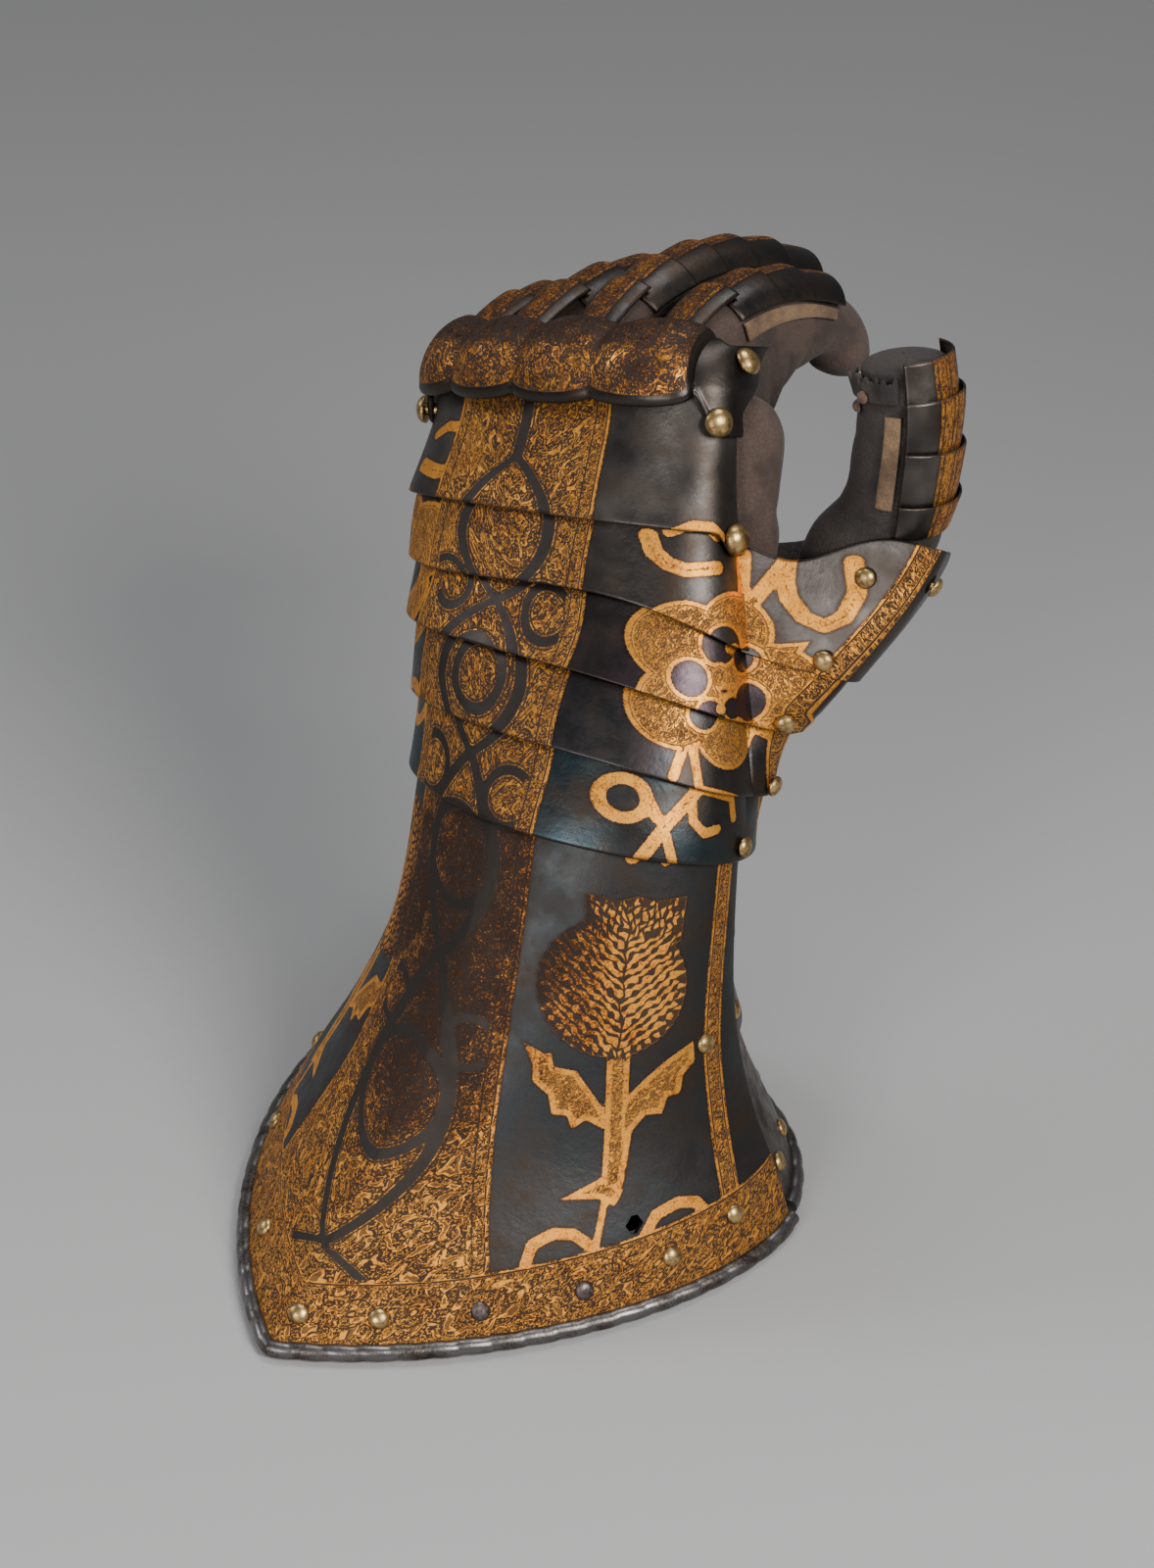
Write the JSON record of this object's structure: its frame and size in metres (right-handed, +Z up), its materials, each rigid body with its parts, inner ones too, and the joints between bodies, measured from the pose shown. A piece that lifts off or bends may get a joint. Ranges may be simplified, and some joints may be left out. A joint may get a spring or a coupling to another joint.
{
  "type": "armoured gauntlet",
  "caption": "Plate gauntlet for the left hand: flared cuff, hinged wrist lames, domed knuckle plate, scaled fingers and a leather glove.",
  "frame": {"origin": "middle of the box round the whole gauntlet, on the floor it stands on", "axes": "+Z up from the cuff rim to the knuckles, +X to the thumb side, -Y the back of the hand and +Y the palm"},
  "size_m": [0.1504, 0.2344, 0.2019],
  "materials": {
    "steel": "browned and etched steel with gilt bands, satin",
    "brass": "aged brass",
    "dark_leather": "worn dark brown leather",
    "suede": "tan suede",
    "thong": "reddish leather thong"
  },
  "bodies": {
    "cuff": {"cuff_outer_plate": "steel", "cuff_inner_plate": "steel", "wrist_inner_lame_lower": "steel", "wrist_inner_lame_upper": "steel", "pivot_4_thumb_side": "brass", "pivot_4_little_side": "brass"},
    "lame_4": {"wrist_lame_4": "steel", "pivot_3_thumb_side": "brass", "pivot_3_little_side": "brass"},
    "lame_3": {"wrist_lame_3": "steel", "pivot_2_thumb_side": "brass", "pivot_2_little_side": "brass"},
    "lame_2": {"wrist_lame_2": "steel", "pivot_1_thumb_side": "brass", "pivot_1_little_side": "brass"},
    "hand": {"wrist_lame_1": "steel", "metacarpal_plate": "steel", "knuckle_plate": "steel", "little_scale_1": "steel", "little_scale_2": "steel", "little_scale_3": "steel", "little_scale_4": "steel", "little_scale_5": "steel", "ring_scale_1": "steel", "ring_scale_2": "steel", "ring_scale_3": "steel", "ring_scale_4": "steel", "ring_scale_5": "steel", "middle_scale_1": "steel", "middle_scale_2": "steel", "middle_scale_3": "steel", "middle_scale_4": "steel", "middle_scale_5": "steel", "middle_scale_6": "steel", "index_scale_1": "steel", "index_scale_2": "steel", "index_scale_3": "steel", "index_scale_4": "steel", "thumb_lame_1": "steel", "thumb_lame_2": "steel", "thumb_lame_3": "steel", "thumb_lame_4": "steel", "index_suede_edging": "suede", "thumb_suede_edging": "suede", "thumb_tip_flap": "dark_leather", "thumb_thong_knot_1": "thong", "thumb_thong_knot_2": "thong", "glove": "dark_leather", "ball_rivet_thumb_side": "brass", "ball_rivet_little_side": "brass", "knuckle_pivot_thumb_side": "brass", "knuckle_pivot_little_side": "brass", "knuckle_rivet_thumb_side": "brass", "knuckle_rivet_little_side": "brass", "thumb_rivet_1": "brass", "thumb_rivet_2": "brass"}
  },
  "joints": [
    {"name": "wrist_hinge_4", "type": "hinge", "parent": "cuff", "child": "lame_4", "pos_m": [0.00253, 0.00682, 0.0896], "axis": [0.9949, 0.0006, 0.1008], "range_deg": [-4, 3]},
    {"name": "wrist_hinge_3", "type": "hinge", "parent": "lame_4", "child": "lame_3", "pos_m": [-0.00157, 0.01727, 0.10053], "axis": [0.9963, 0.0769, 0.0393], "range_deg": [-4, 3]},
    {"name": "wrist_hinge_2", "type": "hinge", "parent": "lame_3", "child": "lame_2", "pos_m": [-0.0044, 0.02205, 0.11522], "axis": [0.9965, 0.0382, 0.074], "range_deg": [-4, 3]},
    {"name": "wrist_hinge_1", "type": "hinge", "parent": "lame_2", "child": "hand", "pos_m": [-0.00387, 0.0282, 0.12868], "axis": [0.9923, 0.0459, 0.1147], "range_deg": [-4, 3]}
  ]
}
